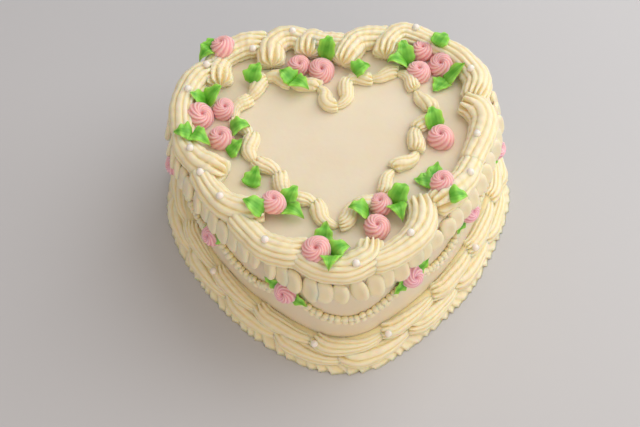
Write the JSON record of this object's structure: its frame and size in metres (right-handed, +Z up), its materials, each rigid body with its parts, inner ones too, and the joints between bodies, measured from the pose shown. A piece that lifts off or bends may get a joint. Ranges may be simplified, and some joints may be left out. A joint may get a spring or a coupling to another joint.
{
  "type": "heart shaped layer cake",
  "caption": "Heart-shaped layer cake in pale buttercream, with a border of piped scrolls, a small piped heart, pink roses, green leaves, sugar pearls, a ruffle, swags and a shell foot.",
  "frame": {"origin": "on the surface the cake stands on, in the middle of the foot border's box", "axes": "+X across the heart, its widest side; -Y towards the heart's tip, +Y towards its cleft; +Z up"},
  "size_m": [0.251, 0.2321, 0.114],
  "materials": {
    "icing": "smooth buttercream, soft sheen",
    "piping": "piped buttercream, soft sheen",
    "rose_pink": "pink buttercream, soft sheen",
    "leaf_green": "green buttercream, soft sheen"
  },
  "bodies": {
    "root": {"cake_body": "icing", "foot_lower": "piping", "foot_upper": "piping", "garland": "piping", "inner_heart_border": "piping", "leaf_01": "leaf_green", "leaf_02": "leaf_green", "leaf_03": "leaf_green", "leaf_04": "leaf_green", "leaf_05": "leaf_green", "leaf_06": "leaf_green", "leaf_07": "leaf_green", "leaf_08": "leaf_green", "leaf_09": "leaf_green", "leaf_10": "leaf_green", "leaf_11": "leaf_green", "leaf_12": "leaf_green", "leaf_13": "leaf_green", "leaf_14": "leaf_green", "leaf_15": "leaf_green", "leaf_16": "leaf_green", "leaf_17": "leaf_green", "leaf_18": "leaf_green", "leaf_19": "leaf_green", "leaf_20": "leaf_green", "leaf_21": "leaf_green", "leaf_22": "leaf_green", "posy_01": "rose_pink", "posy_02": "rose_pink", "posy_03": "rose_pink", "posy_04": "rose_pink", "posy_05": "rose_pink", "posy_06": "rose_pink", "posy_07": "rose_pink", "posy_08": "rose_pink", "posy_09": "rose_pink", "posy_10": "rose_pink", "posy_11": "rose_pink", "rose_01": "rose_pink", "rose_02": "rose_pink", "rose_03": "rose_pink", "rose_04": "rose_pink", "rose_05": "rose_pink", "rose_06": "rose_pink", "rose_07": "rose_pink", "rose_08": "rose_pink", "rose_09": "rose_pink", "rose_10": "rose_pink", "rose_11": "rose_pink", "rose_12": "rose_pink", "rose_13": "rose_pink", "rose_14": "rose_pink", "rose_15": "rose_pink", "ruffle": "piping", "top_border": "piping"}
  },
  "joints": []
}
